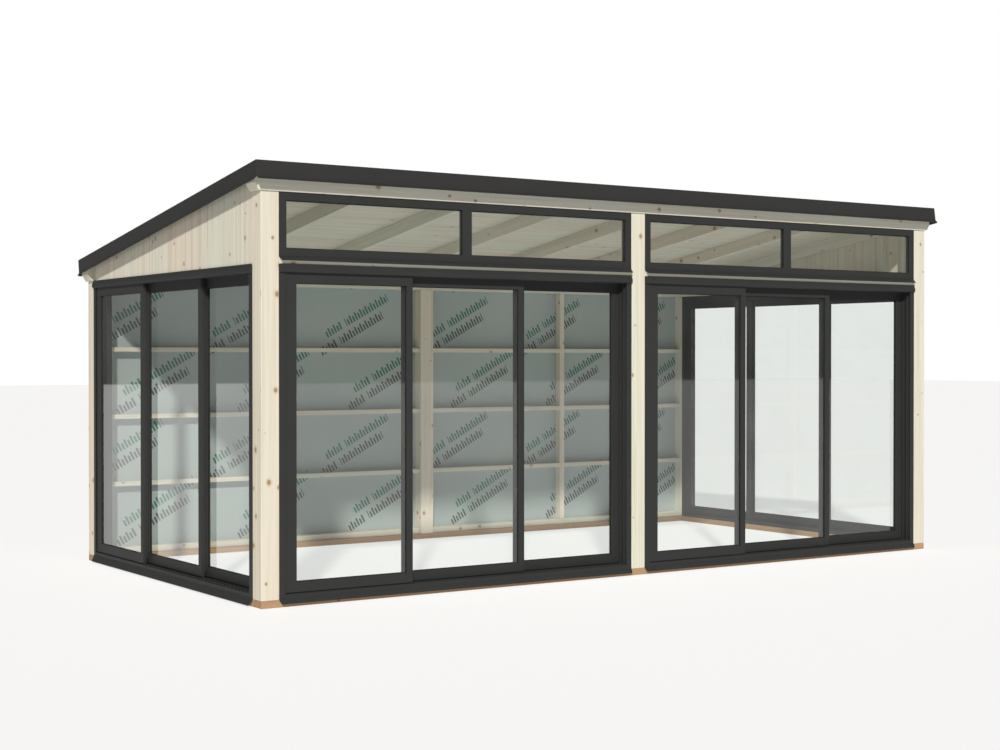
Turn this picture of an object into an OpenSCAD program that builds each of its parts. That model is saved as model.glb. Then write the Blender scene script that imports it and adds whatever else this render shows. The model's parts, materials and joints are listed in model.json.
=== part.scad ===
// Glazed garden office with a single-pitch roof.
// Two bays wide and one bay deep, on 45 mm base beams, with a sliding door in
// each front bay and in each end, and lights above the front doors.
// The frame is drawn from the outer corner of the front-left post, then moved
// so that the origin lies under the middle of the roof. +X runs to the right,
// +Y to the back and +Z up.

/* [Overall] */
// Clear width of each front bay, between two posts
bay_w = 2678; // [2200:1:3300]
// Clear depth between the front and the back posts
bay_d = 2678; // [2200:1:3300]
// Height of the front posts, from the base beams to the front beam
front_h = 2450; // [2350:1:2950]
// Height of the back posts, from the base beams to the back beam
back_h = 2016; // [1800:1:2150]

/* [Timber frame] */
// Side of the square posts
post = 120; // [120:1:160]
// Height of the base beams
base_h = 45; // [35:1:60]
// Height of the front and back beams at the outer face of the posts
beam_h = 140; // [115:1:170]
// How far the beams stand out from the posts, front and back
beam_proud = 10; // [5:1:15]
// How far the foot of a beam runs past the corner posts
beam_end = 15; // [10:1:20]
// How far a beam's slanted end flares out above its foot
beam_flare = 30; // [20:1:36]
// Width of the rafters
rafter_w = 45; // [36:1:60]
// Upright height of the rafters
rafter_h = 92; // [70:1:94]
// Number of rafters
rafter_n = 8; // [6:1:12]
// Height of the rails above the front doors
header_h = 48; // [40:1:60]

/* [Gables and back wall] */
// Thickness of the wall boards
board_t = 18; // [16:1:24]
// How far the boards lie behind the outer face of the posts
board_inset = 3; // [1:1:6]
// Thickness of the wind barrier sheet
membrane_t = 2; // [2:1:4]
// Width of the back wall's studs and height of its bottom rails
stud_w = 45; // [36:1:60]
// Depth of the back wall's studs and rails
stud_d = 70; // [60:1:80]
// Number of rails in each back bay, besides the one on the base
rail_n = 3; // [2:1:4]
// Height of those rails
rail_h = 34; // [25:1:60]

/* [Roof] */
// Overhang at the front, level, to the outside of the trim
over_front = 50; // [48:1:90]
// Overhang at the back, level, to the outside of the trim
over_back = 57; // [48:1:90]
// Overhang at each end
over_end = 55; // [52:1:90]
// Thickness of the roof boards
deck_t = 20; // [18:1:28]
// Thickness of the roof covering
cover_t = 5; // [3:1:8]
// Face height of the trim, below the roof covering
trim_h = 95; // [80:1:110]
// Thickness of the trim
trim_t = 3; // [2:1:4]
// Width of the trim's flange on top of the roof
trim_flange = 60; // [40:1:90]
// How far the trim's drip edge kicks out, and how far it drops
trim_kick = 18; // [12:1:22]

/* [Sliding doors] */
// Face width of the door frame at the jambs
jamb_w = 42; // [38:1:60]
// Height of the door frame's head
head_h = 40; // [36:1:60]
// Height of the door frame's sill
sill_h = 30; // [25:1:40]
// Bottom of the front sills' drip edge, above the ground
lip_front = 20; // [10:1:25]
// Bottom of the end sills' drip edge, above the ground
lip_end = 6; // [4:1:20]
// How far the sills' drip edges stand out from the frame
sill_drip = 22; // [10:1:30]
// Thickness of the door panels
sash_t = 24; // [18:1:24]
// Width of the outer panels' stiles at the jambs
stile_w = 83; // [60:1:95]
// Width of the fixed panels' stiles at the jambs
stop_w = 66; // [50:1:95]
// Width of the panels' stiles where two panels meet
meet_w = 44; // [36:1:50]
// Height of the panels' bottom rails
sash_foot = 63; // [55:1:85]
// Height of the panels' top rails
sash_top = 65; // [50:1:75]
// How far two neighbouring panels lap over each other
lap = 48; // [40:1:60]
// Right edge of the outer panel, past one third of the clear width
meet_1 = 26; // [10:1:40]
// Right edge of the middle panel, past two thirds of the clear width
meet_2 = 44; // [20:1:60]
// Thickness of the glass
glass_t = 6; // [4:1:8]
// Depth of the glass behind the face of its panel
glass_in = 12; // [4:1:14]

/* [Lights above the front doors] */
// Face width of the lights' frames
light_w = 50; // [40:1:60]
// Width of the bar between two lights
light_bar = 70; // [40:1:90]
// Depth of the lights' frames
light_d = 36; // [34:1:90]
// Depth of the glass behind the face of its frame
light_in = 12; // [8:1:52]
// How far the drip below a frame stands out
drip_out = 30; // [15:1:36]

/* [Hidden] */

// Colours
spruce = [0.90, 0.85, 0.75];
treated = [0.72, 0.50, 0.33];
dark = [0.22, 0.22, 0.23];
felt = [0.16, 0.16, 0.17];
barrier = [0.80, 0.84, 0.85];
pane = [0.70, 0.78, 0.78, 0.4];

// Overall sizes of the timber frame
width = 3*post + 2*bay_w;
depth = 2*post + bay_d;
pitch = atan((front_h - back_h) / depth);
front_z = base_h + front_h;
back_z = base_h + back_h;

// Roof: sloping length and the place of its front top edge
bed = 0.05;           // the roof's slabs lie this far clear of timbers and trims
slope_l = (depth + over_front + over_back) / cos(pitch);
roof_y = -over_front;
roof_z = front_z + beam_h + bed + (bed + cover_t + deck_t)/cos(pitch) + over_front*tan(pitch);
function deck_z(y) = front_z + beam_h - y*tan(pitch);

// Middle of the roof's outline, where the origin goes
kick_low = trim_h + trim_kick;
y_min = roof_y - trim_kick*cos(pitch) - kick_low*sin(pitch);
y_max = roof_y + (slope_l + trim_kick)*cos(pitch) - kick_low*sin(pitch);
y_mid = (y_min + y_max)/2;

// Doors: heights above the ground, and depths from the posts' outer face
run_gap = 5;          // clear of everything a panel doesn't run on
seat = 0.3;           // between a panel and its rail
frame_out = 3;        // the frame's face stands this far out from the posts
lip_t = 2;            // thickness of the frame's outer lip
drip_cut = 8;         // a drip's ends are cut back this far at its edge
pocket = 12;          // the jambs' ribs reach this far past a panel's edge
rail_w = 8;           // width and height of a rail, and width of a rib
door_top = base_h + back_h - 1;
sill_z = base_h + sill_h;
head_z = door_top - head_h;
sash_z0 = sill_z + rail_w;
sash_z1 = head_z - run_gap - 1;
sash_v = lip_t - frame_out + run_gap;      // face of the outer panel
frame_back = post;                         // the frame is as deep as the posts
track = (frame_back - lip_t - 1 - run_gap - sash_t - sash_v) / 2;

// Lights above the doors
light_z0 = door_top + header_h;
light_z1 = front_z;

// Moves what is drawn from the front-left corner post to the origin
module placed() translate([-width/2, -y_mid, 0]) children();

// Door places: 0 front left, 1 front right, 2 left end, 3 right end. In its
// own frame a door runs along +X, seen from outside, and +Y goes indoors.
function door_w(i) = i < 2 ? bay_w : bay_d;
module at_door(i) {
    at = [[post, 0], [2*post + bay_w, 0], [0, depth - post], [width, post]][i];
    translate([at[0], at[1], 0]) rotate(i < 2 ? 0 : i == 2 ? -90 : 90) children();
}

// A bar along +X whose section is drawn as [depth, height]
module bar_x(x0, x1) {
    translate([x0, 0, 0]) rotate([90, 0, 90]) linear_extrude(x1 - x0) children();
}

// ---- Timber frame ----

module base_beams_long() color(treated) placed()
    for (y = [0, depth - post]) translate([0, y, 0]) cube([width, post, base_h]);

module base_beams_short() color(treated) placed()
    for (x = [0, width - post]) translate([x, post, 0]) cube([post, bay_d, base_h]);

module post_row(y, h) placed()
    for (i = [0:2]) translate([i*(post + bay_w), y, base_h]) cube([post, post, h]);

module front_posts() color(spruce) post_row(0, front_h);
module back_posts() color(spruce) post_row(depth - post, back_h);

// A beam between two depths, cut to the roof's slope and slanted at its ends
module beam(y0, y1, z) {
    foot = beam_end;
    top = foot + beam_flare;
    rise = beam_flare*1.5;
    intersection() {
        bar_x(-top - 1, width + top + 1)
            polygon([[y0, z], [y1, z], [y1, deck_z(y1)], [y0, deck_z(y0)]]);
        translate([0, y1 + 1, 0]) rotate([90, 0, 0]) linear_extrude(y1 - y0 + 2)
            polygon([
                [-foot, z - 1], [-foot, z], [-top, z + rise], [-top, z + 2*beam_h],
                [width + top, z + 2*beam_h], [width + top, z + rise],
                [width + foot, z], [width + foot, z - 1]]);
    }
}

module front_beam() color(spruce) placed() beam(-beam_proud, post, front_z);
module back_beam() color(spruce) placed() beam(depth - post, depth + beam_proud, back_z);

module front_headers() color(spruce) placed()
    for (i = [0, 1]) at_door(i) translate([0, 0, door_top]) cube([bay_w, post, header_h]);

// Rails over the end doors, behind the boards and under the outer rafters
end_header_h = deck_z(depth - post) - rafter_h - door_top;
module end_headers() color(spruce) placed()
    for (i = [2, 3]) at_door(i)
        translate([0, board_inset + board_t, door_top])
            cube([bay_d, post - board_inset - board_t, end_header_h]);

module rafters() color(spruce) placed() {
    first = board_inset + board_t;
    step = (width - 2*first - rafter_w) / (rafter_n - 1);
    y1 = depth - post;
    for (i = [0:rafter_n - 1])
        bar_x(first + i*step, first + i*step + rafter_w)
            polygon([
                [post, deck_z(post)], [post, deck_z(post) - rafter_h],
                [y1, deck_z(y1) - rafter_h], [y1, deck_z(y1)]]);
}

// ---- Gables and back wall ----

module gable_boards(x) placed() {
    y1 = depth - post;
    bar_x(x, x + board_t)
        polygon([[post, door_top], [y1, door_top], [y1, deck_z(y1)], [post, deck_z(post)]]);
}

module left_gable_boards() color(spruce) gable_boards(board_inset);
module right_gable_boards() color(spruce) gable_boards(width - board_inset - board_t);

// Back wall, from the outside in: boards, wind barrier, studs and rails
boards_y = depth - board_inset - board_t;
membrane_y = boards_y - membrane_t;
studs_y = membrane_y - stud_d;
wall_h = back_h;
function back_bay(i) = post + i*(bay_w + post);

module back_boards() color(spruce) placed()
    for (i = [0, 1]) translate([back_bay(i), boards_y, base_h]) cube([bay_w, board_t, wall_h]);

module back_membrane() color(barrier) placed()
    for (i = [0, 1])
        translate([back_bay(i), membrane_y, base_h]) cube([bay_w, membrane_t, wall_h]);

module back_studs() color(spruce) placed()
    for (i = [0, 1])
        translate([back_bay(i) + (bay_w - stud_w)/2, studs_y, base_h + stud_w])
            cube([stud_w, stud_d, wall_h - stud_w]);

module back_rails() color(spruce) placed() {
    half = (bay_w - stud_w)/2;
    step = (wall_h - rail_h/2) / (rail_n + 1);
    for (i = [0, 1]) {
        translate([back_bay(i), studs_y, base_h]) cube([bay_w, stud_d, stud_w]);
        for (k = [1:rail_n], side = [0, 1])
            translate([back_bay(i) + side*(half + stud_w), studs_y, base_h + k*step])
                cube([half, stud_d, rail_h]);
    }
}

// ---- Roof, drawn level with its front top edge on the X axis ----

module on_roof() placed() translate([0, roof_y, roof_z]) rotate([-pitch, 0, 0]) children();

deck_x = over_end - trim_t - bed;
module roof_slab(low, thick) on_roof()
    translate([-deck_x, trim_t + bed, low - bed])
        cube([width + 2*deck_x, slope_l - 2*(trim_t + bed), thick]);

module roof_deck() color(spruce) roof_slab(-cover_t - deck_t, deck_t);
module roof_cover() color(felt) roof_slab(-cover_t, cover_t);

// Section of the trim: a flange on the roof, a face, and a drip edge kicked out
module trim_section() {
    slant = trim_t*0.7;
    polygon([
        [trim_flange, 0], [trim_flange, trim_t], [0, trim_t], [0, -trim_h],
        [-trim_kick, -kick_low], [slant - trim_kick, -kick_low - slant],
        [trim_t, -trim_h - slant + trim_t*0.3], [trim_t, 0]]);
}

module roof_trims_long() color(dark) on_roof() {
    bar_x(-over_end, width + over_end) trim_section();
    translate([0, slope_l, 0]) mirror([0, 1, 0]) bar_x(-over_end, width + over_end) trim_section();
}

// The end trims butt against the front and back trims
module end_trim() rotate([90, 0, 0]) mirror([0, 0, 1]) intersection() {
    linear_extrude(slope_l) trim_section();
    union() {
        translate([-trim_kick - 1, -kick_low - trim_t, trim_t])
            cube([trim_kick + trim_t + 2, kick_low + trim_t, slope_l - 2*trim_t]);
        translate([0, -trim_t, trim_flange])
            cube([trim_flange, 3*trim_t, slope_l - 2*trim_flange]);
    }
}

module roof_trims_short() color(dark) on_roof() {
    translate([-over_end, 0, 0]) end_trim();
    translate([width + over_end, 0, 0]) mirror([1, 0, 0]) end_trim();
}

// ---- Door frames ----

// Plan of a left jamb: a back with an outer lip, ribs between the tracks and
// an inner lip, which the panels' edges run in behind
module jamb_plan() {
    back = jamb_w - pocket;
    translate([0, -frame_out]) square([back, frame_back + frame_out]);
    translate([0, -frame_out]) square([jamb_w, lip_t]);
    translate([0, frame_back - lip_t]) square([jamb_w, lip_t]);
    for (k = [1, 2])
        translate([0, rib_v(k)]) square([jamb_w, rail_w]);
}
function rib_v(k) = sash_v + k*track - (track - sash_t)/2 - rail_w/2;

module jamb_pair(i) at_door(i) {
    translate([0, 0, sill_z]) linear_extrude(head_z - sill_z) jamb_plan();
    translate([door_w(i), 0, sill_z]) mirror([1, 0, 0])
        linear_extrude(head_z - sill_z) jamb_plan();
}

module front_door_jambs() color(dark) placed() for (i = [0, 1]) jamb_pair(i);
module end_door_jambs() color(dark) placed() for (i = [2, 3]) jamb_pair(i);

// A drip along an opening: its section is [how far out, height], and in plan
// its ends are cut back towards its edge
module drip(w, root, out) intersection() {
    bar_x(0, w) children();
    linear_extrude(front_z)
        polygon([[0, -root], [drip_cut, -root - out], [w - drip_cut, -root - out], [w, -root],
                 [w, 2], [0, 2]]);
}

// A sill lies on the base beam, carries three rails and hangs a drip outside
module door_sills() color(dark) placed()
    for (i = [0:3]) at_door(i) {
        w = door_w(i);
        lip = i < 2 ? lip_front : lip_end;
        union() {
            translate([0, -frame_out, base_h]) cube([w, frame_back + frame_out, sill_h]);
            drip(w, frame_out, sill_drip)
                polygon([
                    [1 - frame_out, base_h + sill_h/3], [-frame_out, base_h + sill_h/3],
                    [-frame_out - sill_drip, lip + 5], [-frame_out - sill_drip, lip],
                    [1 - frame_out, base_h - 6]]);
            for (k = [0:2])
                translate([jamb_w, sash_v + k*track + (sash_t - rail_w)/2, sill_z - 1])
                    cube([w - 2*jamb_w, rail_w, rail_w - seat + 1]);
        }
    }

// A head hangs the same lips and ribs as the jambs, over the panels' tops
module door_heads() color(dark) placed()
    for (i = [0:3]) at_door(i) {
        w = door_w(i);
        union() {
            translate([0, -frame_out, head_z]) cube([w, frame_back + frame_out, head_h]);
            for (v = [[-frame_out, lip_t], [rib_v(1), rail_w], [rib_v(2), rail_w],
                      [frame_back - lip_t, lip_t]])
                translate([jamb_w, v[0], head_z - pocket])
                    cube([w - 2*jamb_w, v[1], pocket + 1]);
        }
    }

// Drip trim on the face of each head, over the frame's outer lip
module door_head_trims() color(dark) placed()
    for (i = [0:3]) at_door(i) translate([0, -frame_out, 0]) bar_x(0, door_w(i))
        polygon([
            [0, door_top + 4], [-2, door_top + 4], [-13, door_top - 26], [-13, head_z - 5],
            [-4, head_z - 10], [0, head_z - 10]]);

// ---- Door panels ----

// Edges of the three panels, from the left jamb: outer, middle and fixed
function clear_w(w) = w - 2*jamb_w;
function edge_1(w) = jamb_w + clear_w(w)/3 + meet_1;
function edge_2(w) = jamb_w + 2*clear_w(w)/3 + meet_2;
function stop_in() = jamb_w - pocket + run_gap;
function panel_x(k, w) = k == 0 ? [stop_in(), edge_1(w)]
    : k == 1 ? [edge_1(w) - lap, edge_2(w)]
    : [edge_2(w) - lap, w - stop_in()];
function stiles(k) = [k == 0 ? stile_w : meet_w, k == 2 ? stop_w : meet_w];

module sash(i, k) at_door(i) {
    x = panel_x(k, door_w(i));
    s = stiles(k);
    translate([x[0], sash_v + k*track, sash_z0]) difference() {
        cube([x[1] - x[0], sash_t, sash_z1 - sash_z0]);
        translate([s[0], -1, sash_foot])
            cube([x[1] - x[0] - s[0] - s[1], sash_t + 2, sash_z1 - sash_z0 - sash_foot - sash_top]);
    }
}

module pane(i, k) at_door(i) {
    x = panel_x(k, door_w(i));
    s = stiles(k);
    translate([x[0] + s[0], sash_v + k*track + glass_in, sash_z0 + sash_foot])
        cube([x[1] - x[0] - s[0] - s[1], glass_t, sash_z1 - sash_z0 - sash_foot - sash_top]);
}

module fixed_sashes() color(dark) placed() for (i = [0:3]) sash(i, 2);
module fixed_panes() color(pane) placed() for (i = [0:3]) pane(i, 2);

module front_left_outer_sash() color(dark) placed() sash(0, 0);
module front_left_outer_pane() color(pane) placed() pane(0, 0);
module front_left_middle_sash() color(dark) placed() sash(0, 1);
module front_left_middle_pane() color(pane) placed() pane(0, 1);
module front_right_outer_sash() color(dark) placed() sash(1, 0);
module front_right_outer_pane() color(pane) placed() pane(1, 0);
module front_right_middle_sash() color(dark) placed() sash(1, 1);
module front_right_middle_pane() color(pane) placed() pane(1, 1);
module left_end_outer_sash() color(dark) placed() sash(2, 0);
module left_end_outer_pane() color(pane) placed() pane(2, 0);
module left_end_middle_sash() color(dark) placed() sash(2, 1);
module left_end_middle_pane() color(pane) placed() pane(2, 1);
module right_end_outer_sash() color(dark) placed() sash(3, 0);
module right_end_outer_pane() color(pane) placed() pane(3, 0);
module right_end_middle_sash() color(dark) placed() sash(3, 1);
module right_end_middle_pane() color(pane) placed() pane(3, 1);

// ---- Lights above the front doors ----

pane_w = (bay_w - 2*light_w - light_bar)/2;
pane_h = light_z1 - light_z0 - 2*light_w;
module each_light(i) at_door(i)
    for (k = [0, 1])
        translate([light_w + k*(pane_w + light_bar), 0, light_z0 + light_w]) children();

module transom_frames() color(dark) placed()
    for (i = [0, 1]) difference() {
        at_door(i) translate([0, 0, light_z0]) cube([bay_w, light_d, light_z1 - light_z0]);
        each_light(i) translate([0, -1, 0]) cube([pane_w, light_d + 2, pane_h]);
    }

module transom_panes() color(pane) placed()
    for (i = [0, 1]) each_light(i)
        translate([0, light_in, 0]) cube([pane_w, glass_t, pane_h]);

module transom_drips() color(dark) placed()
    for (i = [0, 1]) at_door(i) drip(bay_w, 0, drip_out)
        polygon([
            [0, light_z0], [-drip_out, light_z0 - 22], [-drip_out, light_z0 - 26],
            [0, light_z0 - 6]]);

base_beams_long();
base_beams_short();
front_posts();
back_posts();
front_beam();
back_beam();
front_headers();
end_headers();
rafters();
left_gable_boards();
right_gable_boards();
back_studs();
back_rails();
back_membrane();
back_boards();
roof_deck();
roof_cover();
roof_trims_long();
roof_trims_short();
front_door_jambs();
end_door_jambs();
door_sills();
door_heads();
door_head_trims();
fixed_sashes();
fixed_panes();
front_left_outer_sash();
front_left_outer_pane();
front_left_middle_sash();
front_left_middle_pane();
front_right_outer_sash();
front_right_outer_pane();
front_right_middle_sash();
front_right_middle_pane();
left_end_outer_sash();
left_end_outer_pane();
left_end_middle_sash();
left_end_middle_pane();
right_end_outer_sash();
right_end_outer_pane();
right_end_middle_sash();
right_end_middle_pane();
transom_frames();
transom_panes();
transom_drips();
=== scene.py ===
# %% [markdown]
# # A garden office in glass and spruce
# The office is a timber frame under a single-pitch roof: spruce posts and beams on
# brown base beams, a boarded back wall, boarded gables, and glass sliding doors in
# dark metal frames. The structure and everything that slides comes from the CAD
# frame, so the first thing to do is to load it. Nothing in it is moved: each piece
# made here takes its place from it.

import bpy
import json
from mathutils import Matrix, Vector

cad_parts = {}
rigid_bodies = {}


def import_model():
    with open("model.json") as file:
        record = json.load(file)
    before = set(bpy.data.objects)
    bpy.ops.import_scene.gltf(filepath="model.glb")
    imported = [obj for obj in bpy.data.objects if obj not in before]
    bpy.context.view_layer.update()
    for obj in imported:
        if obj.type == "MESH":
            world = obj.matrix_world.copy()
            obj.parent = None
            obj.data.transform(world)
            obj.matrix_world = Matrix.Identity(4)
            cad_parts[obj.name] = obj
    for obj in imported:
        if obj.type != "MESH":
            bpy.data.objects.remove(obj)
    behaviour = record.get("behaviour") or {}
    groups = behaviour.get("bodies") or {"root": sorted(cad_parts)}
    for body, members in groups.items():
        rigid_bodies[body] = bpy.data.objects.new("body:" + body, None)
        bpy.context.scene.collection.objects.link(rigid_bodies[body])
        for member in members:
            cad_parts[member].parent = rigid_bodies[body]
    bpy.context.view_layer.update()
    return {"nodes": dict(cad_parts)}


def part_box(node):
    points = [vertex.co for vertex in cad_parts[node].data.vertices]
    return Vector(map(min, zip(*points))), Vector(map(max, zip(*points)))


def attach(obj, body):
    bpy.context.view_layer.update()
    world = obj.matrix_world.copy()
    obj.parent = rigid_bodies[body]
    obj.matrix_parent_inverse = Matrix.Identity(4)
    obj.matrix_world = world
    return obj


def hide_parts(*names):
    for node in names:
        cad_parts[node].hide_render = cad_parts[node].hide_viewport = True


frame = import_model()

# %% Modules and directions
import json
import math
import random

import bmesh
import bpy
import numpy as np
from mathutils import Vector

X, Y, Z = Vector((1, 0, 0)), Vector((0, 1, 0)), Vector((0, 0, 1))
luck = random.Random(11)        # all chance comes from here, so each run is alike
print("directions set")

# %% [markdown]
# ## The camera
# It stands at eye height in front of the office and a little to the left, and looks
# along a line that is almost level, so that upright posts stay upright. A camera
# could also be aimed with a Track To constraint, but two angles say it more plainly.

# %% Camera
EYE = (-7.2228, -10.5270, 1.4975)
TURN, DIP = 33.7856, 0.5808     # degrees to the right of +Y, and below level
LENS, SENSOR = 60.35, 36        # focal length and sensor width in millimetres
bpy.ops.object.select_all(action="DESELECT")
bpy.ops.object.camera_add(
    location=EYE,
    rotation=(math.radians(90 - DIP), 0, math.radians(-TURN)),
)
camera = bpy.context.active_object
camera.data.lens = LENS
camera.data.sensor_width = SENSOR
bpy.context.scene.camera = camera
print("camera at", EYE, "with a", camera.data.lens, "mm lens")

# %% [markdown]
# ## Light and floor
# A pale floor and a pale surround fill every shadow softly. The floor glows faintly,
# so that it looks almost white while it throws back only a third of the light: a
# white one would light the roof's underside too much. One broad lamp stands for low
# daylight from the front left, which draws the thin shadow under the roof's edge. The
# surround is far weaker as a light than it looks, so that the lamp still models the
# timber. An area light would do too, but it would fade along so long a wall.

# %% Floor
FLOOR_SIDE, FLOOR_DROP = 160, 0.001     # its side, and how far it is under the beams
FLOOR_GREY, FLOOR_GLOW = (0.36, 0.36, 0.355, 1), 0.64
WHITE = (1, 1, 1, 1)
bpy.ops.mesh.primitive_plane_add(size=FLOOR_SIDE, location=(0, 0, -FLOOR_DROP))
floor = bpy.context.active_object
floor.name = "studio_floor"
paint = bpy.data.materials.new("studio floor")
paint.use_nodes = True
coat = paint.node_tree.nodes["Principled BSDF"].inputs
coat["Base Color"].default_value = FLOOR_GREY
coat["Roughness"].default_value = 0.9
coat["Emission Color"].default_value = WHITE
coat["Emission Strength"].default_value = FLOOR_GLOW
floor.data.materials.append(paint)
print("floor of", floor.dimensions.x, "m")

# %% Lamp and surround
TOWARDS_LAMP = Vector((-0.85, -1.25, 0.95))
LAMP_POWER, LAMP_BREADTH = 3.7, 3       # W/m2, and degrees across, as seen
DAYLIGHT = (1, 0.97, 0.92)
AS_LIGHT, AS_SEEN = 0.13, 1.0           # the surround's strength
bpy.ops.object.light_add(type="SUN", location=TOWARDS_LAMP * 8)
lamp = bpy.context.active_object
lamp.rotation_euler = TOWARDS_LAMP.to_track_quat("Z", "Y").to_euler()
lamp.data.energy = LAMP_POWER
lamp.data.angle = math.radians(LAMP_BREADTH)
lamp.data.color = DAYLIGHT

surround = bpy.data.worlds.new("surround")
bpy.context.scene.world = surround
surround.use_nodes = True
nodes, links = surround.node_tree.nodes, surround.node_tree.links
seen = nodes.new("ShaderNodeLightPath")
strength = nodes.new("ShaderNodeMapRange")
strength.inputs["To Min"].default_value = AS_LIGHT
strength.inputs["To Max"].default_value = AS_SEEN
nodes["Background"].inputs["Color"].default_value = WHITE
links.new(seen.outputs["Is Camera Ray"], strength.inputs["Value"])
links.new(strength.outputs["Result"], nodes["Background"].inputs["Strength"])
bpy.context.scene.view_settings.view_transform = "Standard"
print("lamp of", lamp.data.energy, "W/m2")

# %% [markdown]
# ## Writing shader maths as Python
# A material is a network of nodes. Linking them by hand is slow to read, so a small
# class wraps a socket: adding, multiplying or dividing two of them makes the Math
# node that does it, and the reflected forms let a plain number stand first, as in
# 1 - mask. Everything else, from noise to a Mix node, comes from one method that
# takes the node's type, its settings and what goes into its sockets.

# %% The wire class
class Wire:
    """A socket of a shader node, on which Python's own arithmetic works."""

    def __init__(self, tree, socket=None):
        self.tree, self.socket = tree, socket

    def node(self, kind, settings=None, values=None, out=0):
        """Adds a node of any kind. Its settings go on first, then its sockets."""
        made = self.tree.nodes.new("ShaderNode" + kind)
        for name, setting in (settings or {}).items():
            setattr(made, name, setting)
        for key, value in (values or {}).items():
            if isinstance(value, Wire):
                self.tree.links.new(value.socket, made.inputs[key])
            else:
                made.inputs[key].default_value = value
        return Wire(self.tree, made.outputs[out] if made.outputs else None)

    def maths(self, operation, *terms, clamp=False):
        settings = {"operation": operation, "use_clamp": clamp}
        return self.node("Math", settings, dict(enumerate(terms)))

    def __add__(self, other):
        return self.maths("ADD", self, other)

    def __sub__(self, other):
        return self.maths("SUBTRACT", self, other)

    def __rsub__(self, other):
        return self.maths("SUBTRACT", other, self)

    def __mul__(self, other):
        return self.maths("MULTIPLY", self, other)

    def __truediv__(self, other):
        return self.maths("DIVIDE", self, other)

    def __rtruediv__(self, other):
        return self.maths("DIVIDE", other, self)

    def __pow__(self, other):
        return self.maths("POWER", self, other)

    def __rpow__(self, other):
        return self.maths("POWER", other, self)

    __radd__, __rmul__ = __add__, __mul__

    def clamped(self):
        """Kept between 0 and 1."""
        return self.maths("ADD", self, 0.0, clamp=True)

    def floor(self):
        """The whole number below it."""
        return self.maths("FLOOR", self)

    def over(self, edge, soft):
        """0 below the edge and 1 above it, with a soft step between."""
        return ((self - edge) / soft + 0.5).clamped()

    def parts(self):
        """The three numbers of a vector."""
        first = self.node("SeparateXYZ", values={0: self})
        return [Wire(self.tree, socket) for socket in first.socket.node.outputs]

    def vector(self, x, y, z=0.0):
        return self.node("CombineXYZ", values={0: x, 1: y, 2: z})

    def stretched(self, x, y, z):
        return self.node("VectorMath", {"operation": "MULTIPLY"}, {0: self, 1: (x, y, z)})

    def noise(self, scale, detail=2.0, roughness=0.5):
        """Soft noise, about 0.5 on average, with this wire as its place."""
        values = {"Vector": self, "Scale": scale, "Detail": detail, "Roughness": roughness}
        return self.node("TexNoise", values=values)

    def mix(self, first, second):
        """Goes from the first colour to the second as this wire goes from 0 to 1."""
        colours = {0: self, 6: first, 7: second}
        return self.node("Mix", {"data_type": "RGBA"}, colours, out=2)

    def bump(self, strength, depth):
        values = {"Height": self, "Strength": strength, "Distance": depth}
        return self.node("Bump", values=values)


print("wire class ready")

# %% Starting and ending a finish
def new_finish(name):
    """An empty material, and a wire that starts its nodes."""
    material = bpy.data.materials.new(name)
    material.use_nodes = True
    material.node_tree.nodes.clear()
    return material, Wire(material.node_tree)


def surface(start, **values):
    """A Principled shader with these sockets, and the material's output."""
    named = {key.replace("_", " "): value for key, value in values.items()}
    shader = start.node("BsdfPrincipled", values=named)
    start.node("OutputMaterial", values={"Surface": shader})


print("finish helpers ready")

# %% [markdown]
# ## Wood
# Spruce is pale, with soft stripes along the grain, thin lines where a board is cut
# through its year rings, and brown knots. Each timber is given its own grain when it
# is made: an attribute says how far each point lies along, across and through the
# timber, so one finish serves a post, a beam and a sloping rafter, and no two boards
# are alike. The rings are circles about the heart of the log, so they show as arcs
# on end grain and as long lines on a face, as in real wood. A knot is a branch cut
# across, so the rings swell around it. A painted image would be quicker, but it would
# repeat, and its end grain would never meet its faces.

# %% Wood finish
KNOT_CELL, KNOT_SIZE = 0.15, 0.024      # metres from knot to knot, and a knot's most
HEART_EDGE, HALO_EDGE = 0.0022, 0.006   # how softly a knot and its halo end
RING, SWELL = 0.0062, 0.045             # year ring, and how far round a knot it swells


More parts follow.
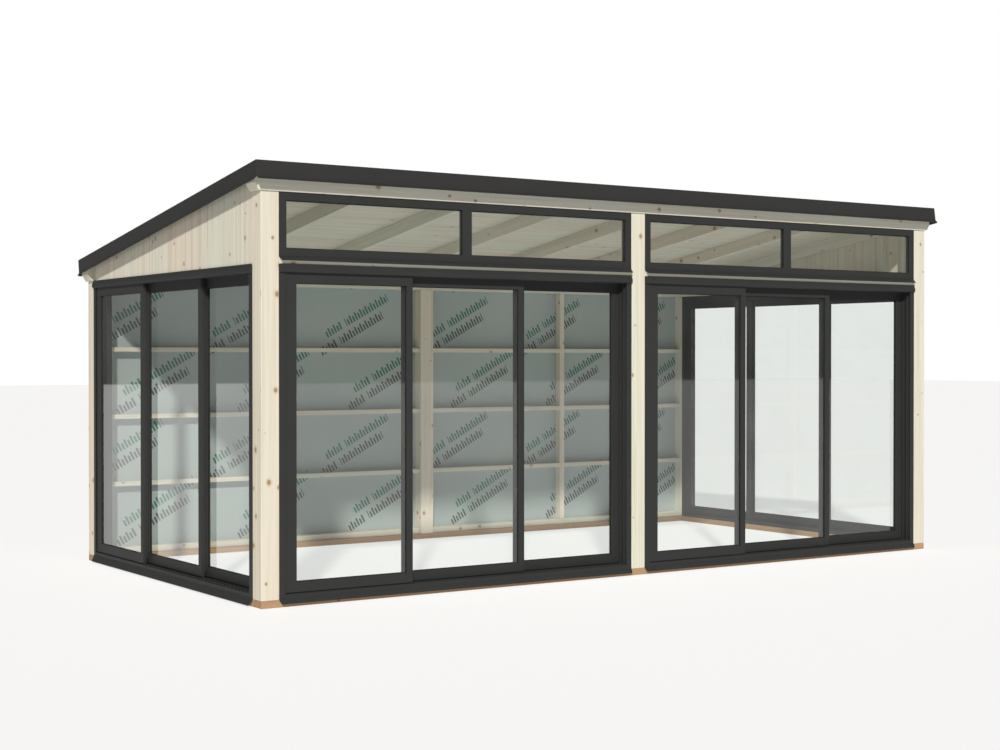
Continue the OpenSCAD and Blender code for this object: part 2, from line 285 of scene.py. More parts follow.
def wood(name, pale, warm, late, knot, knot_share=0.55, streaks=0.36, rough=0.62):
    """Softwood: its two pale tones, its ring lines and streaks, and its knots."""
    material, start = new_finish(name)
    grain = start.node("Attribute", {"attribute_name": "grain"}, out="Vector")
    facing = start.node("Attribute", {"attribute_name": "facing"}, out="Vector")
    tone = start.node("Attribute", {"attribute_name": "tone"}, out="Fac")
    along, across, through = grain.parts()
    end, side, face = facing.parts()
    flat = across * face + through * side           # across whichever face shows

    place = start.vector(along * 0.8 + tone * 31, flat + tone * 7)
    settings = {"voronoi_dimensions": "2D", "feature": "F1"}
    spots = {"Vector": place, "Scale": 1 / KNOT_CELL, "Randomness": 1.0}
    far = start.node("TexVoronoi", settings, spots) * KNOT_CELL
    chance = start.node("TexVoronoi", settings, spots, out="Color").parts()[0]
    size = start.maths("MAXIMUM", (chance - (1 - knot_share)) * KNOT_SIZE, 0.0)
    on_face = (1 - end * 1.5).clamped()
    heart = ((size - far) / HEART_EDGE).clamped() * on_face
    halo = ((size * 1.9 - far) / HALO_EDGE).clamped() * on_face
    swell = ((SWELL - far) / SWELL).clamped() ** 2 * (size * 60).clamped()

    waver = grain.stretched(0.7, 5, 5).noise(1.0, 2.0) - 0.5
    radius = start.node(
        "VectorMath", {"operation": "LENGTH"}, {0: start.vector(0.0, across, through)},
        out="Value")
    rings = radius + waver * 0.03 + swell * 0.012
    line = (start.maths("SINE", rings * (math.tau / RING)) * 0.5 + 0.5) ** 3
    stripe = grain.stretched(0.8, 38, 38).noise(1.0, 3.0, 0.6)
    broad = grain.stretched(0.35, 9, 9).noise(1.0, 2.0)

    colour = (tone * 0.75 + (broad - 0.5) * 1.3 + 0.1).clamped().mix(pale, warm)
    colour = (line * 0.34 + stripe.over(0.56, 0.22) * streaks).mix(colour, late)
    colour = (halo * 0.55).mix(colour, late)
    colour = (heart * 0.92).mix(colour, knot)
    colour = (end * 0.35).mix(colour, late)
    height = line * 0.35 + stripe * 0.6 - heart * 0.5
    dull = rough + stripe * 0.16 - heart * 0.12
    surface(
        start, Base_Color=colour, Roughness=dull, Normal=height.bump(0.35, 0.0008),
        Specular_IOR_Level=0.3)
    return material


PALE, WARM = (0.61, 0.63, 0.545, 1), (0.66, 0.60, 0.50, 1)
LATE, KNOT = (0.50, 0.43, 0.32, 1), (0.32, 0.19, 0.10, 1)
spruce = wood("planed spruce", PALE, WARM, LATE, KNOT, knot_share=0.62, streaks=0.42)
cladding = wood("spruce boards", PALE, WARM, LATE, KNOT, knot_share=0.5, streaks=0.62)
treated = wood(
    "treated base timber", (0.37, 0.24, 0.135, 1), (0.42, 0.265, 0.145, 1),
    (0.25, 0.145, 0.075, 1), (0.10, 0.05, 0.03, 1), knot_share=0.4, rough=0.7)
print("wood finishes:", spruce.name, cladding.name, treated.name)

# %% [markdown]
# ## Metal, felt and rubber
# The frames are powder-coated aluminium: dark grey, with a fine orange-peel texture
# that only a low light shows. The roof's trim is painted steel, a little smoother.
# Roofing felt is bitumen strewn with slate granules, and rubber is plain and dull.
# Each could be one colour with one roughness, but a flat coat looks like plastic, so
# a slow mottle and a fine grain are mixed in. All of them use object coordinates,
# since their texture is the same all ways and needs no unwrapping.

# %% Coated metal
def coated(name, colour, lighter, rough, grain=900.0, depth=0.00012):
    """A paint film on metal, with a faint mottle and orange peel."""
    material, start = new_finish(name)
    place = start.node("TexCoord", out="Object")
    peel = place.noise(grain, 2.0)
    mottle = place.noise(3.1, 4.0, 0.62)
    speck = place.noise(60.0, 2.0)
    shade = ((mottle - 0.5) * 0.9 + (speck - 0.5) * 0.35 + 0.5).clamped()
    surface(
        start, Base_Color=shade.mix(colour, lighter),
        Roughness=rough + (mottle - 0.5) * 0.16, Normal=peel.bump(0.4, depth),
        Specular_IOR_Level=0.12)
    return material


frame_coat = coated(
    "anthracite powder coat", (0.026, 0.027, 0.027, 1), (0.033, 0.034, 0.034, 1), 0.55)
trim_coat = coated(
    "anthracite painted steel", (0.027, 0.027, 0.027, 1), (0.035, 0.035, 0.034, 1), 0.52)
rubber = coated(
    "black rubber", (0.010, 0.010, 0.010, 1), (0.016, 0.016, 0.016, 1), 0.7, 400.0)
zinc = coated(
    "zinc screws", (0.42, 0.42, 0.43, 1), (0.55, 0.55, 0.55, 1), 0.35, 1500.0, 0.00005)
zinc.node_tree.nodes["Principled BSDF"].inputs["Metallic"].default_value = 1.0
print("coatings:", frame_coat.name, trim_coat.name, rubber.name, zinc.name)

# %% Felt
felt, start = new_finish("slate roofing felt")
place = start.node("TexCoord", out="Object")
granules = {"Vector": place, "Scale": 420.0}        # to a metre
granule = start.node("TexVoronoi", values=granules)
grit = start.node("TexVoronoi", values=granules, out="Color").parts()[1]
patch = place.noise(1.7, 5.0, 0.6)
colour = grit.mix((0.022, 0.023, 0.025, 1), (0.085, 0.088, 0.094, 1))
colour = ((patch - 0.5) * 1.2 + 0.4).clamped().mix(colour, (0.04, 0.041, 0.043, 1))
surface(
    start, Base_Color=colour, Roughness=0.86 + grit * 0.1,
    Normal=(1 - granule + patch * 0.4).bump(0.8, 0.0012))
print("felt:", felt.name)

# %% [markdown]
# ## The wind barrier
# It is a pale blue-grey non-woven sheet, printed in slanting rows of green and grey.
# The print here is plain: a row of slim green bars over a row of grey ones, each in a
# short and a long group, on two grids that are staggered. Coordinates are counted
# from the start of the nearest print and turned to its slant, and narrow strips are
# kept. A painted image would need a file, and the formula stays sharp at any size.
# The sheet's fibres are a fine noise.

# %% Wind barrier finish
barrier, start = new_finish("wind barrier sheet")
x, _, z = start.node("TexCoord", out="Object").parts()
SLANT = math.radians(28.5)
REPEAT = 0.98                   # metres from a print to the same one beside or above it
MARGIN = 0.2                    # from a cell's lower left corner to its print
BEAT = 0.0275                   # from one bar of a row to the next
SHORT, PAUSE, LONG = 0.16, 0.2, 0.64    # ends of the short group, the gap and the long one
LOW_BAR, TALL_BAR = 0.05, 0.068         # heights of the two bars
GREY_BACK, GREY_DOWN = 0.11, 0.105      # from the green row to the grey one under it


def strip(place, low, high):
    """1 between two edges, 2 mm soft, and 0 beyond them."""
    return place.over(low, 0.002) * (1 - place.over(high, 0.002))


def cell(place, first):
    """How far a place is past the start of its own print."""
    count = (place - (first - MARGIN)) / REPEAT
    return (count - count.floor()) * REPEAT - MARGIN


def bars(first_x, first_z, back, down):
    """A short and a long slanting group of bars, tall and low in turn."""
    right, up = cell(x, first_x), cell(z, first_z)
    along = right * math.cos(SLANT) + up * math.sin(SLANT) + back
    height = up * math.cos(SLANT) - right * math.sin(SLANT) + down
    beat = along / BEAT
    slim = 1 - (beat - beat.floor()).over(0.56, 0.1)
    tall = (beat / 2 - (beat / 2).floor()).over(0.5, 0.02)
    groups = strip(along, 0.0, SHORT) + strip(along, PAUSE, LONG)
    low, high = strip(height, 0.0, LOW_BAR), strip(height, 0.0, TALL_BAR)
    return (low * (1 - tall) + high * tall) * groups * slim


FIRST, SECOND = (-0.875, 0.68), (-0.62, 0.235)     # starts of the two staggered grids
weave = start.vector(x, z).noise(260.0, 3.0, 0.7)
cloud = start.vector(x, z).noise(2.2, 3.0)
colour = cloud.mix((0.33, 0.39, 0.385, 1), (0.41, 0.46, 0.44, 1))
colour = ((weave - 0.5) * 1.6 + 0.2).clamped().mix(colour, (0.28, 0.34, 0.34, 1))
green = bars(*FIRST, 0.0, 0.0) + bars(*SECOND, 0.0, 0.0)
grey = bars(*FIRST, GREY_BACK, GREY_DOWN) + bars(*SECOND, GREY_BACK, GREY_DOWN)
colour = (green * 0.95).mix(colour, (0.004, 0.13, 0.075, 1))
colour = (grey * 0.9).mix(colour, (0.035, 0.035, 0.03, 1))
surface(
    start, Base_Color=colour, Roughness=0.78 + weave * 0.12,
    Normal=weave.bump(0.4, 0.0006))
print("barrier prints every", REPEAT, "m")

# %% [markdown]
# ## Glass
# A pane is thin and flat, so what is seen through it isn't bent. A clear shader with
# a faint green-grey tint lets light and lamps through, and a sharp mirror is mixed
# over it by Fresnel, which makes glass reflect more at a slant. A ray that isn't bent
# would seem to be trapped at the pane's far face, so only the near face mirrors, for
# both. A trace of dust keeps it from looking like empty air.

# %% Glass finish
glass, start = new_finish("clear glass")
place = start.node("TexCoord", out="Object")
film = place.noise(1.3, 5.0, 0.65)
smear = place.stretched(3, 3, 0.6).noise(2.0, 3.0, 0.6)
clear = start.node("BsdfTransparent", values={"Color": (0.974, 0.984, 0.9775, 1)})
mirror = start.node(
    "BsdfGlossy",
    values={"Color": (0.95, 0.96, 0.96, 1), "Roughness": smear * 0.03 + 0.005})
shine = start.node("Fresnel", values={"IOR": 1.52})
inside = start.node("NewGeometry", out="Backfacing")
pane = start.node("MixShader", values={0: shine * 1.7 * (1 - inside), 1: clear, 2: mirror})
dust = start.node("BsdfDiffuse", values={"Color": (0.62, 0.64, 0.62, 1)})
veil = film.over(0.62, 0.3) * 0.02 + 0.006
pane = start.node("MixShader", values={0: veil, 1: pane, 2: dust})
start.node("OutputMaterial", values={"Surface": pane})
print("glass:", glass.name)

# %% [markdown]
# ## Helpers for modelling
# An operator acts on whatever is selected, so each helper first selects just its own
# piece. Faces and edges are picked in code, by where they are or which way they
# face. Two kinds of start are used. A copy of a CAD solid is merged, because its
# triangles come apart, and its edges are eased. A new bar is a cube set at its size.

# %% Selecting
def only(*pieces):
    """Selects just these pieces and makes the last one active."""
    bpy.ops.object.select_all(action="DESELECT")
    for piece in pieces:
        piece.select_set(True)
    bpy.context.view_layer.objects.active = pieces[-1]


def pick(piece, kind, test):
    """Opens a piece for editing with the FACE or EDGE items selected that pass."""
    only(piece)
    bpy.ops.object.mode_set(mode="EDIT")
    bpy.ops.mesh.select_mode(type=kind)
    bpy.ops.mesh.select_all(action="DESELECT")
    mesh = bmesh.from_edit_mesh(piece.data)
    for item in mesh.faces if kind == "FACE" else mesh.edges:
        item.select_set(bool(test(item)))
    bmesh.update_edit_mesh(piece.data)


def close_edit():
    bpy.ops.object.mode_set(mode="OBJECT")


print("selecting helpers ready")

# %% Easing, settling and joining
SHARP = math.radians(20)        # edges that turn more than this are eased


def ease(piece, width, segments=2):
    """Rounds every sharp edge a little, as a planer or a press leaves it."""
    pick(piece, "EDGE", lambda edge: edge.calc_face_angle(0) > SHARP)
    bpy.ops.mesh.bevel(
        offset=width, segments=segments, affect="EDGES", clamp_overlap=True)
    close_edit()


def settle(piece):
    """Puts a piece's place, turn and size into its mesh."""
    only(piece)
    bpy.ops.object.transform_apply(location=True, rotation=True, scale=True)


def joined(parts, name):
    """One piece made of these parts, under this name."""
    only(*parts)
    if len(parts) > 1:
        bpy.ops.object.join()
    piece = bpy.context.active_object
    piece.name = name
    piece.data.name = name
    return piece


def hang(piece, body, finish, slot, *nodes):
    """Gives a piece its finish and body, and hides the CAD nodes it stands for. Its slot
    is not used.
    """
    piece.data.materials.clear()
    piece.data.materials.append(finish)
    for face in piece.data.polygons:
        face.material_index = 0
    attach(piece, body)
    if nodes:
        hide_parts(*nodes)


print("eased edges turn more than", round(math.degrees(SHARP)), "degrees")

# %% Copies of CAD solids
MERGE = 1e-5                    # corners closer than this are one
FLAT = math.radians(0.4)        # triangles that turn less than this make one face


def solids_of(node):
    """Copies a CAD node, merges it and splits it into its separate solids."""
    only(frame["nodes"][node])
    bpy.ops.object.duplicate()
    copy = bpy.context.active_object
    bpy.ops.object.parent_clear(type="CLEAR_KEEP_TRANSFORM")
    for key in list(copy.keys()):
        del copy[key]
    bpy.ops.object.mode_set(mode="EDIT")
    bpy.ops.mesh.select_all(action="SELECT")
    bpy.ops.mesh.remove_doubles(threshold=MERGE)
    bpy.ops.mesh.dissolve_limited(angle_limit=FLAT)
    close_edit()
    bpy.ops.mesh.separate(type="LOOSE")
    found = list(bpy.context.selected_objects)
    return sorted(found, key=lambda part: [round(v, 4) for v in corners(part)[0]])


def corners(piece):
    """The lowest and the highest corner of a piece."""
    points = np.array([vertex.co for vertex in piece.data.vertices])
    return Vector(points.min(0)), Vector(points.max(0))


def boxes_of(node):
    """The corners of each solid of a CAD node."""
    parts = solids_of(node)
    found = [corners(part) for part in parts]
    only(*parts)
    bpy.ops.object.delete()
    return found


print("helpers for CAD solids ready")

# %% Bars and rings
def block(name, low, high):
    """A cube set at its size between two corners, which is the start of a piece."""
    low, high = Vector(low), Vector(high)
    bpy.ops.mesh.primitive_cube_add(size=1, location=(low + high) / 2)
    piece = bpy.context.active_object
    piece.name = name
    piece.scale = high - low
    settle(piece)
    return piece


def bar(name, low, high, edge):
    """A straight bar between two corners, with eased edges."""
    piece = block(name, low, high)
    ease(piece, edge)
    return piece


def ring(name, low, high, normal, width, edge):
    """A flat frame with mitred corners: a block, inset on both faces and bridged."""
    piece = block(name, low, high)
    pick(piece, "FACE", lambda face: abs(face.normal.dot(normal)) > 0.9)
    bpy.ops.mesh.inset(thickness=width, use_individual=True)
    bpy.ops.mesh.bridge_edge_loops()
    close_edit()
    ease(piece, edge, 1)
    return piece


print("modelling helpers ready")

# %% [markdown]
# ## Giving timber its grain
# The wood finish reads three attributes. "grain" holds each point's place along,
# across and through the timber, shifted by chance so that each is cut from another
# part of a log. "facing" says which way each face looks in those terms, and "tone"
# is one number for the whole timber. UV maps could carry the same, but the rings
# need all three directions.

# %% Grain
def aside(near, far):
    """A chance distance to one or the other side of the log's heart."""
    return luck.choice((-1, 1)) * luck.uniform(near, far)


def lay_grain(piece, direction):
    """Writes the attributes of one timber whose grain runs this way."""
    along = direction.normalized()
    across = (Z if abs(along.z) < 0.9 else Y).cross(along).normalized()
    axes = np.array([along, across, along.cross(across)])
    points = np.array([vertex.co for vertex in piece.data.vertices])
    middle = (points.min(0) + points.max(0)) / 2
    shift = np.array([luck.uniform(0, 40), aside(0.03, 0.1), aside(0.04, 0.12)])
    normals = np.abs(np.array([face.normal for face in piece.data.polygons]) @ axes.T)
    tone = luck.random()
    data = piece.data.attributes
    grain = data.new("grain", "FLOAT_VECTOR", "POINT")
    grain.data.foreach_set("vector", ((points - middle) @ axes.T + shift).ravel())
    facing = data.new("facing", "FLOAT_VECTOR", "FACE")
    facing.data.foreach_set("vector", normals.ravel())
    data.new("tone", "FLOAT", "FACE").data.foreach_set("value", [tone] * len(normals))


def timbers(node, name, direction, edge, finish=spruce, slot="spruce_frame"):
    """Every timber of a CAD node, eased and grained, as one piece."""
    parts = solids_of(node)
    for part in parts:
        ease(part, edge)
        lay_grain(part, direction)
    piece = joined(parts, name)
    print(name, "has", len(parts), "timbers and", len(piece.data.polygons), "faces")
    hang(piece, "shell", finish, slot, node)


print("grain helpers ready")

# %% [markdown]
# ## The timber frame
# Posts, beams, rails and rafters are planed timber, so their edges are eased by two
# to four millimetres. They could be modelled as new bars, but copies of the CAD solids
# with a small bevel are surer, because their joints already meet. The rafters' grain
# follows the roof's slope, which is read off a gable: how much lower its top is at the
# back.

# %% Slope of the roof
gable_low, gable_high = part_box("left_gable_boards")
tops = [v.co for v in frame["nodes"]["left_gable_boards"].data.vertices]
back_top = max(p.z for p in tops if abs(p.y - gable_high.y) < 1e-4)
PITCH = math.atan2(gable_high.z - back_top, gable_high.y - gable_low.y)
DOWN = Vector((0, math.cos(PITCH), -math.sin(PITCH)))      # down the roof, to the back
print("the roof falls", round(math.degrees(PITCH), 2), "degrees to the back")

# %% Frame timbers
POST_EDGE, RAFTER_EDGE, RAIL_EDGE, BASE_EDGE = 0.004, 0.0025, 0.002, 0.003
for node, name, direction in (
        ("base_beams_long", "long_base_beams", X),
        ("base_beams_short", "short_base_beams", Y)):
    timbers(node, name, direction, BASE_EDGE, treated, "treated_timber")
for node, name, direction, edge in (
        ("front_posts", "front_post_timbers", Z, POST_EDGE),
        ("back_posts", "back_post_timbers", Z, POST_EDGE),
        ("front_beam", "front_beam_timber", X, POST_EDGE),
        ("back_beam", "back_beam_timber", X, POST_EDGE),
        ("front_headers", "header_timbers", X, RAIL_EDGE),
        ("end_headers", "end_header_timbers", Y, RAIL_EDGE),
        ("rafters", "rafter_timbers", DOWN, RAFTER_EDGE),
        ("back_studs", "back_stud_timbers", Z, RAFTER_EDGE),
        ("back_rails", "back_rail_timbers", X, RAFTER_EDGE)):
    timbers(node, name, direction, edge)

# %% [markdown]
# ## Wall boards
# The gables and the back wall are clad in upright tongued boards. Each board is a bar
# whose outer edges are cut to half a V, so that two of them make a groove with a
# shadow. One wide board with a bump map would be lighter, but the grooves would stay
# flat at a slant. The first board is modelled and the others are copies, each with
# its own grain, and a gable's boards are then cut off along the roof by a bisect.

# %% Board helpers
BOARD = 0.1339                  # cover width of a board
GAP = 0.0012                    # left between two boards
VEE = 0.006                     # depth of half a groove
BOARD_EDGE = 0.0004             # how far a board's other edges are eased
NEAR = 0.0005                   # an edge this close to an arris is taken as on it


def first_board(low, high, outward, along):
    """A board whose long edges on its outer face are chamfered."""
    board = bar("board", low, high, BOARD_EDGE)
    side = outward.cross(along)
    middle, span = (Vector(low) + Vector(high)) / 2, Vector(high) - Vector(low)
    half, face_at = abs(span.dot(side)) / 2, abs(span.dot(outward)) / 2

    def outer_arris(edge):
        a, b = (vertex.co - middle for vertex in edge.verts)
        long_one = abs((b - a).normalized().dot(along)) > 0.99 and (b - a).length > 0.05
        near = abs(abs(a.dot(side)) - half) < NEAR and a.dot(outward) > face_at - NEAR
        return long_one and near

    pick(board, "EDGE", outer_arris)
    bpy.ops.mesh.bevel(offset=VEE, segments=1, affect="EDGES")
    close_edit()
    return board


def row_of(board, count, step):
    """The board and its copies, each with its own mesh."""
    row = [board]
    for _ in range(1, count):
        only(row[-1])
        bpy.ops.object.duplicate()
        bpy.ops.transform.translate(value=step)
        settle(bpy.context.active_object)
        row.append(bpy.context.active_object)
    return row


print("wall boards are about", round(BOARD * 1000), "mm wide")

# %% Gable boards
for side, outward in (("left", -X), ("right", X)):
    low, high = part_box(f"{side}_gable_boards")
    count = round((high.y - low.y) / BOARD)
    width = (high.y - low.y) / count
    board = first_board(low, (high.x, low.y + width - GAP, high.z), outward, Z)
    row = row_of(board, count, (0, width, 0))
    for board in row:
        lay_grain(board, Z)
    piece = joined(row, f"{side}_gable_cladding")
    only(piece)
    bpy.ops.object.mode_set(mode="EDIT")
    bpy.ops.mesh.select_all(action="SELECT")
    bpy.ops.mesh.bisect(
        plane_co=(0, low.y, high.z), plane_no=(0, math.sin(PITCH), math.cos(PITCH)),
        use_fill=True, clear_outer=True)
    close_edit()
    hang(piece, "shell", cladding, "spruce_boards", f"{side}_gable_boards")
    print(piece.name, "has", count, "boards")

# %% Back boards
boards = []
for start_at, end_at in boxes_of("back_boards"):
    count = round((end_at.x - start_at.x) / BOARD)
    width = (end_at.x - start_at.x) / count
    board = first_board(start_at, (start_at.x + width - GAP, end_at.y, end_at.z), Y, Z)
    boards += row_of(board, count, (width, 0, 0))
for board in boards:
    lay_grain(board, Z)
piece = joined(boards, "back_cladding")
hang(piece, "shell", cladding, "spruce_boards", "back_boards")
print(piece.name, "has", len(boards), "boards")

# %% [markdown]
# ## The wind barrier sheet
# In each back bay a sheet is stretched over the outside of the studs and rails, and
# the boards hold it. It is nailed along the timbers, so it is flat there and bellies
# out a little between them. A grid with each point moved by a smooth formula gives
# that, and a cloth simulation would give no more for so tight a sheet.

# %% Wind barrier sheets
CELLS_WIDE, CELLS_HIGH = 90, 68         # of the sheet's grid
BELLY = 0.0009                          # how far it bellies between timbers
for side, (start_at, end_at) in zip(("left", "right"), boxes_of("back_membrane")):
    size = end_at - start_at
    centre = (start_at + end_at) / 2
    bpy.ops.mesh.primitive_grid_add(
        x_subdivisions=CELLS_WIDE, y_subdivisions=CELLS_HIGH, size=1,
        location=centre, rotation=(math.radians(90), 0, 0))
    sheet = bpy.context.active_object
    sheet.name = f"{side}_wind_barrier"
    sheet.scale = (size.x, size.z, 1)
    settle(sheet)
    for vertex in sheet.data.vertices:
        u = (vertex.co.x - start_at.x) / size.x
        v = (vertex.co.z - start_at.z) / size.z
        free = abs(math.sin(2 * math.pi * u) * math.sin(4 * math.pi * v)) ** 0.5
        ripple = math.sin(23 * u + 5 * v) * math.sin(31 * v - 9 * u)
        vertex.co.y -= BELLY * ripple * free
    hang(sheet, "shell", barrier, "wind_barrier", "back_membrane")
    print(sheet.name, "is cut to", round(size.x, 3), "by", round(size.z, 3), "m")

# %% [markdown]
# ## The roof
# The roof is boards laid along the building on the rafters, with felt on top and a
# folded trim around the edge. Boards and felt are modelled level, one course after
# another down the slope, and the whole is then tipped to the pitch, which is easier
# than placing each one on a slope. The felt's courses are laid from the low side, so
# that each lies over the next one down, as tiles do.

# %% Where a roof slab lies
def slab_of(node):
    """A sloping slab's upper front edge, its length down the slope and thickness."""
    low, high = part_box(node)
    wide, tall = high.y - low.y, high.z - low.z
    cos, sin, tan = math.cos(PITCH), math.sin(PITCH), math.tan(PITCH)
    thick = (tall - wide * tan) * cos / (cos * cos - sin * sin)
    length = (wide - thick * sin) / cos
    return Vector((low.x, low.y + thick * sin, high.z)), high.x - low.x, length, thick


def tip(piece, edge):
    """Tips a level piece, drawn from its upper front edge, to the roof's pitch."""
    piece.rotation_euler = (-PITCH, 0, 0)
    piece.location = edge
    settle(piece)


print("the roof is", round(slab_of("roof_deck")[2], 3), "m down its slope")

# %% Roof boards
ROOF_BOARD = 0.12
edge, width, length, thick = slab_of("roof_deck")
count = round(length / ROOF_BOARD)
cover = length / count
board = first_board((0, 0, -thick), (width, cover - GAP, 0), -Z, X)
row = row_of(board, count, (0, cover, 0))
for board in row:
    lay_grain(board, X)
deck = joined(row, "roof_boards")
tip(deck, edge)
hang(deck, "shell", cladding, "spruce_boards", "roof_deck")
print("roof boards:", count, "of", round(cover * 1000), "mm")

# %% Felt
LAP, SHEET = 0.09, 0.0023       # overlap of two courses, and the felt's thickness
COURSES, FELT_EDGE = 3, 0.0008
edge, width, length, thick = slab_of("roof_cover")
cover = (length + (COURSES - 1) * LAP) / COURSES
strips = []
for course in range(COURSES):
    near = course * (cover - LAP)
    piece = bar("felt", (0, 0, -thick), (width, cover, SHEET - thick), FELT_EDGE)
    piece.rotation_euler = (math.asin((thick - 2 * SHEET) / cover), 0, 0)
    piece.location = (0, near, 0)
    settle(piece)
    strips.append(piece)
roofing = joined(strips, "roof_felt")
tip(roofing, edge)
hang(roofing, "shell", felt, "roof_felt", "roof_cover")
print("felt courses:", COURSES, "of", round(cover, 2), "m")

# %% [markdown]
# ## Folded trim
# The trim is sheet steel folded over the roof's edge, with a drip that kicks out at
# the foot. A strip could be extruded fold by fold, but the CAD solid has the folds, so
# its copy only gets the small radius that a press leaves. Pan-head screws hold its
# flange down every 300 mm: one screw is modelled, with a socket pressed into its head,
# and copied.

# %% Trims
def metalwork(node, name, edge, finish=frame_coat, slot="dark_frame"):
    """The metal parts of a CAD node with pressed edges, as one piece."""
    parts = solids_of(node)
    for part in parts:
        ease(part, edge)
    piece = joined(parts, name)
    print(name, "has", len(parts), "parts and", len(piece.data.polygons), "faces")
    hang(piece, "shell", finish, slot, node)


FOLD = 0.0008                   # radius of a folded edge
metalwork("roof_trims_long", "long_roof_trims", FOLD, trim_coat, "dark_trim")
metalwork("roof_trims_short", "short_roof_trims", FOLD, trim_coat, "dark_trim")

# %% A screw
HEAD, DOME, RIM, SOCKET = 0.7, 0.35, 0.25, 0.2      # as shares of a screw's radius
SCREW = 0.0055                                      # its radius, m


def screw(name, radius):
    """A pan-head screw that looks up, with a socket pressed into its head."""
    bpy.ops.mesh.primitive_cylinder_add(vertices=12, radius=radius, depth=radius * HEAD)
    piece = bpy.context.active_object
    piece.name = name
    pick(piece, "EDGE", lambda edge: all(v.co.z > 0 for v in edge.verts))
    bpy.ops.mesh.bevel(offset=radius * DOME, segments=2, affect="EDGES")
    close_edit()
    pick(piece, "FACE", lambda face: face.normal.z > 0.9)
    bpy.ops.mesh.inset(thickness=radius * RIM)
    bpy.ops.transform.translate(value=(0, 0, -radius * SOCKET))
    close_edit()
    return piece


def copies(piece, places, name):
    """Copies of a piece at these places, joined into one mesh."""
    made = []
    for place in places:
        only(piece)
        bpy.ops.object.duplicate()
        copy = bpy.context.active_object
        copy.location = place
        settle(copy)
        made.append(copy)
    only(piece)
    bpy.ops.object.delete()
    return joined(made, name)


print("a screw head is", round(2000 * SCREW), "mm across")

# %% Trim screws
INSET, EVERY, LIFT = 0.035, 0.3, 0.0038     # from the edge, apart, and above the felt
edge, width, length, thick = slab_of("roof_cover")
wide, deep = round(width / EVERY), round(length / EVERY)
across = [INSET + (width - 2 * INSET) * n / wide for n in range(wide + 1)]
down = [INSET + (length - 2 * INSET) * n / deep for n in range(1, deep)]
places = [(x, y, LIFT) for x in across for y in (INSET, length - INSET)]
places += [(x, y, LIFT) for x in (INSET, width - INSET) for y in down]
screws = copies(screw("screw", SCREW), places, "trim_screws")
tip(screws, edge)
hang(screws, "shell", zinc, "dark_trim")
print("trim screws:", len(places))

# %% [markdown]
# ## Door frames and lights
# Jambs, sills and heads are extruded aluminium, cut square and screwed together, so
# each is its own solid and the joint between them shows as a fine line. A profile
# could be drawn and extruded here, but the CAD solids have every rib and drip in its
# place, so they are copied. Lips and ribs are thin, so edges are only just broken.

# %% Frames
RIB, SILL_EDGE, LIGHT_EDGE = 0.0005, 0.0006, 0.0015     # how far edges are broken
for node, name, edge in (
        ("front_door_jambs", "front_jambs", RIB),
        ("end_door_jambs", "end_jambs", RIB),
        ("door_sills", "sills", SILL_EDGE),
        ("door_heads", "heads", RIB),
        ("door_head_trims", "head_trims", FOLD),
        ("transom_frames", "light_frames", LIGHT_EDGE),
        ("transom_drips", "light_drips", SILL_EDGE)):
    metalwork(node, name, edge)

# %% [markdown]
# ## Glazing
# Glass sits in its frame between a black gasket outside and a bead inside, which
# clips in to hold it. Both are rings with mitred corners: a block is inset on its two
# faces and the holes are bridged. The rings lie just inside the opening and touch
# the glass, whose CAD node stays and only takes its finish.

# %% Rings around a pane
GASKET, BEAD = 0.003, 0.004     # widths over the glass
OUTER, INNER = 0.004, 0.003     # thickness of the gaskets outside and inside
SHY, RING_EDGE = 0.001, 0.0007  # back from the frame's face, and the easing


def glazed(pane_low, pane_high, inward, face, back, name):
    """A gasket in front of a pane and a bead and gasket behind it.

    face and back are how deep the frame's two faces lie, along inward."""
    depths = sorted((pane_low.dot(inward), pane_high.dot(inward)))
    flat = Vector(1 - abs(v) for v in inward)

    def ring_between(near, far, width, part):
        low = Vector(a * f + abs(n) * min(near * n, far * n)
                     for a, f, n in zip(pane_low, flat, inward))
        high = Vector(a * f + abs(n) * max(near * n, far * n)
                      for a, f, n in zip(pane_high, flat, inward))
        return ring(part, low, high, inward, width, RING_EDGE)

    near, far = depths
    front = ring_between(max(face + SHY, near - OUTER), near, GASKET, "gasket")
    rear = ring_between(far, far + INNER, GASKET, "gasket")
    bead = ring_between(far + INNER, back - SHY, BEAD, name)
    return joined([front, rear], name + "_gaskets"), bead


print("gaskets show", round(GASKET * 1000), "mm around the glass")

# %% Lights over the front doors
frame_low, frame_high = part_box("transom_frames")
gaskets, beads = [], []
for low, high in boxes_of("transom_panes"):
    gasket, bead = glazed(low, high, Y, frame_low.y, frame_high.y, "light")
    gaskets.append(gasket)
    beads.append(bead)
hang(joined(gaskets, "light_gaskets"), "shell", rubber, "dark_frame")
hang(joined(beads, "light_beads"), "shell", frame_coat, "dark_frame")
print("lights glazed:", len(gaskets))

# %% [markdown]
# ## Door panels
# A panel is two upright stiles with a rail between them at the top and the bottom,
# and the stiles run the full height, so the joints show as short level lines. Each
# bar is made on its own at the place of the CAD sash, and the opening's edges come
# from the pane. On the edge that meets the next panel a fin closes the gap between
# the two tracks, with a small black cap at its foot. It clears the next panel by two
# millimetres, and stands back from the panel's edge and top, so that it stops short of
# the jamb's rib when the door is open, and of the head's ribs always. All of it rides
# on the panel's own body.

# %% Panel helper
FIN, CAP = 0.008, 0.034         # the fin's thickness, and the height of its cap
CLEAR, BACK = 0.002, 0.0085     # from the next panel, and from the panel's edge and top
STEP = 0.0003                   # the rails lie this much behind the stiles' faces
PANEL_EDGE, FIN_EDGE, CAP_EDGE = 0.001, 0.0008, 0.0012


def middle(box):
    return (box[0] + box[1]) / 2


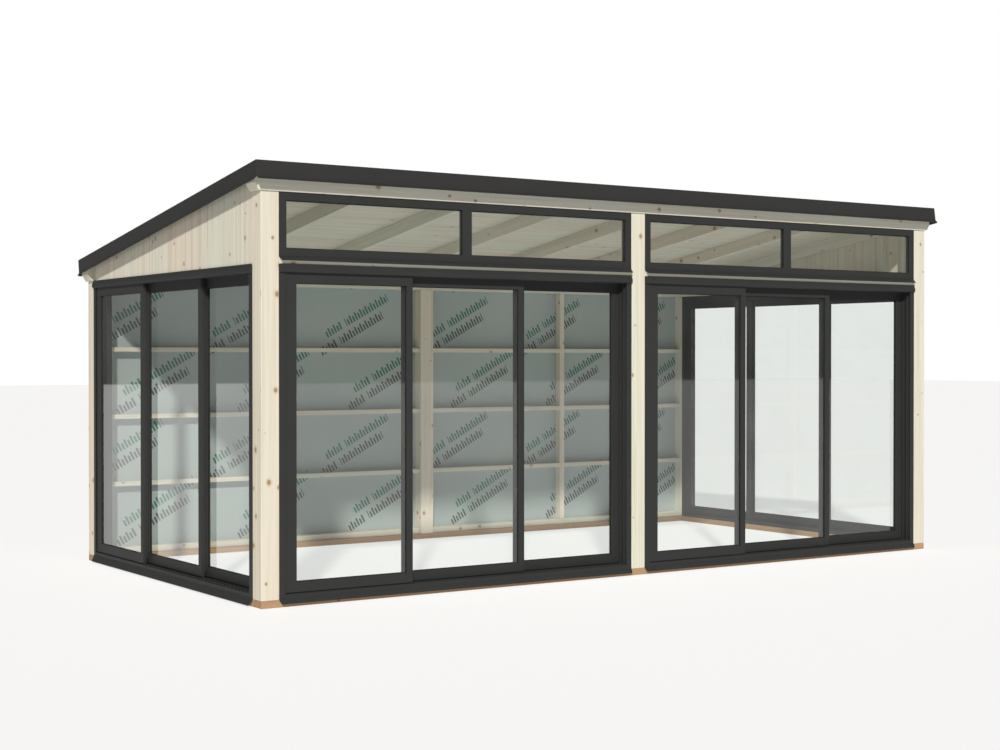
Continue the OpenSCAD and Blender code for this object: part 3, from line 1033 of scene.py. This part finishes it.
def panel(sash, pane, across, inward, name, next_face):
    """The bars, glazing and fin of one door panel, from its sash and pane boxes."""
    def reach(box, axis):
        return sorted((box[0].dot(axis), box[1].dot(axis)))

    u0, u1 = reach(sash, across)
    v0, v1 = reach(sash, inward)
    p0, p1 = reach(pane, across)
    z0, z1, g0, g1 = sash[0].z, sash[1].z, pane[0].z, pane[1].z

    def placed(part, ua, ub, va, vb, za, zb, edge):
        a = across * ua + inward * va + Z * za
        b = across * ub + inward * vb + Z * zb
        low = Vector(min(p, q) for p, q in zip(a, b))
        high = Vector(max(p, q) for p, q in zip(a, b))
        return bar(part, low, high, edge)

    bars = [
        placed("stile", u0, p0, v0, v1, z0, z1, PANEL_EDGE),
        placed("stile", p1, u1, v0, v1, z0, z1, PANEL_EDGE),
        placed("rail", p0, p1, v0 + STEP, v1 - STEP, z0, g0, PANEL_EDGE),
        placed("rail", p0, p1, v0 + STEP, v1 - STEP, g1, z1, PANEL_EDGE)]
    rubbers = []
    if next_face is not None:
        end, tip_at, foot = u1 - BACK, next_face - CLEAR, z0 + CAP
        bars.append(
            placed("fin", end - FIN, end, v1, tip_at, foot, z1 - BACK, FIN_EDGE))
        rubbers.append(
            placed("cap", end - 1.5 * FIN, end, v1, tip_at, z0, foot, CAP_EDGE))
    gasket, bead = glazed(pane[0], pane[1], inward, v0, v1, name)
    return joined(bars + [bead], name), joined(rubbers + [gasket], name + "_rubber")


print("a fin clears the next panel by", round(CLEAR * 1000), "mm")

# %% Moving and fixed panels
DOORS = {
    "front_left": (X, Y), "front_right": (X, Y),
    "left_end": (-Y, X), "right_end": (Y, -X)}
fixed_sashes, fixed_panes = boxes_of("fixed_sashes"), boxes_of("fixed_panes")
fixed_bars, fixed_rubbers = [], []
for door, (across, inward) in DOORS.items():
    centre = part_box(f"{door}_middle_sash")
    near = sorted(fixed_sashes, key=lambda box: (middle(box) - middle(centre)).length)[0]
    pane = sorted(fixed_panes, key=lambda box: (middle(box) - middle(near)).length)[0]
    faces = {"outer": centre, "middle": near}
    for part in ("outer", "middle"):
        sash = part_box(f"{door}_{part}_sash")
        next_face = min(corner.dot(inward) for corner in faces[part])
        bars, rubbers = panel(
            sash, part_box(f"{door}_{part}_pane"), across, inward,
            f"{door}_{part}_frame", next_face)
        hang(bars, f"{door}_{part}_panel", frame_coat, "dark_frame", f"{door}_{part}_sash")
        hang(rubbers, f"{door}_{part}_panel", rubber, "dark_frame")
    bars, rubbers = panel(near, pane, across, inward, f"{door}_fixed_frame", None)
    fixed_bars.append(bars)
    fixed_rubbers.append(rubbers)
    print(door, "door has its three panels")
hang(joined(fixed_bars, "fixed_frames"), "shell", frame_coat, "dark_frame", "fixed_sashes")
hang(joined(fixed_rubbers, "fixed_rubbers"), "shell", rubber, "dark_frame")

# %% [markdown]
# ## Panes
# The glass keeps its CAD nodes, because a pane is just a flat plate with cut edges,
# and a new plate would be no better. Each node's material slots are given the finish.

# %% Glass on the CAD panes
for name, node in frame["nodes"].items():
    if name.endswith("_pane") or name.endswith("_panes"):
        for slot in node.material_slots:
            slot.material = glass
print("panes:", sum(name.endswith(("_pane", "_panes")) for name in frame["nodes"]))
